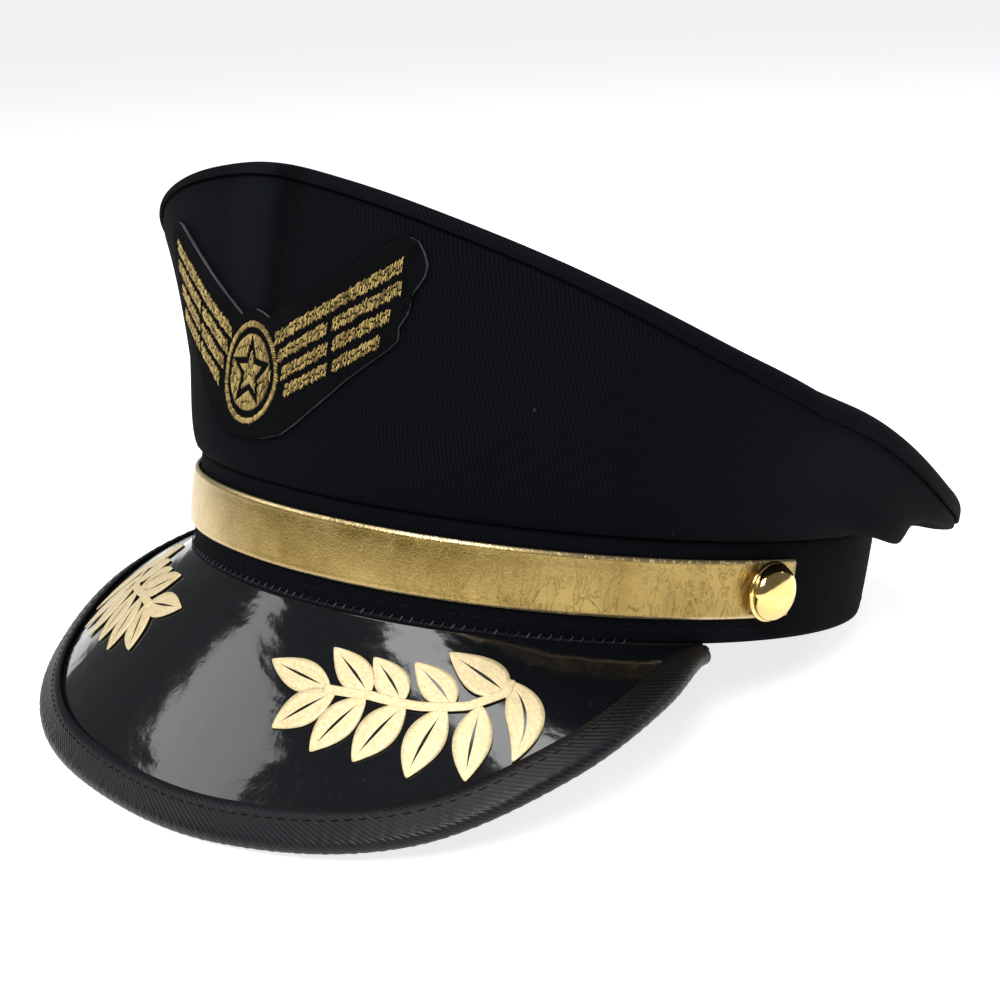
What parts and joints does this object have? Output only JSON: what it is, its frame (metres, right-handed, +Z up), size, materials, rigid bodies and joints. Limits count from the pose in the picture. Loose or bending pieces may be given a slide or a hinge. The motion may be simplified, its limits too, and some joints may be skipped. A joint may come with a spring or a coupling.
{
  "type": "costume military cap",
  "caption": "Peaked cap of black twill with a flared crown, gold strap and buttons, glossy peak with laurel sprays, and a winged badge.",
  "frame": {"origin": "centre of the bounding box in plan, on the surface the cap rests on", "axes": "+Z up, -Y the front where the peak is, +X the left of a wearer facing forward; the cap leans back by about 13 degrees, as it rests on its peak and the back of its band"},
  "size_m": [0.243, 0.2714, 0.1498],
  "materials": {
    "twill": "black cotton twill with a blue tint",
    "band_twill": "black cotton twill",
    "gold_leather": "gold coated leather look",
    "brass": "polished",
    "patent": "black patent",
    "tape": "black woven tape",
    "foil": "pale gold foil",
    "felt": "black felt",
    "thread": "gold metallic thread"
  },
  "bodies": {
    "root": {"crown_side": "twill", "crown_top": "twill", "cap_band": "band_twill", "chin_strap": "gold_leather", "button_left": "brass", "button_right": "brass", "peak": "patent", "peak_binding": "tape", "laurel_left": "foil", "laurel_right": "foil", "badge_patch": "felt", "badge_ring": "thread", "badge_disc": "thread", "badge_star": "thread", "wing_left_row_1": "thread", "wing_left_row_2": "thread", "wing_left_row_2_outer": "thread", "wing_left_row_3": "thread", "wing_left_row_3_outer": "thread", "wing_left_row_4": "thread", "wing_left_row_4_outer": "thread", "wing_right_row_1": "thread", "wing_right_row_2": "thread", "wing_right_row_2_outer": "thread", "wing_right_row_3": "thread", "wing_right_row_3_outer": "thread", "wing_right_row_4": "thread", "wing_right_row_4_outer": "thread"}
  },
  "joints": []
}
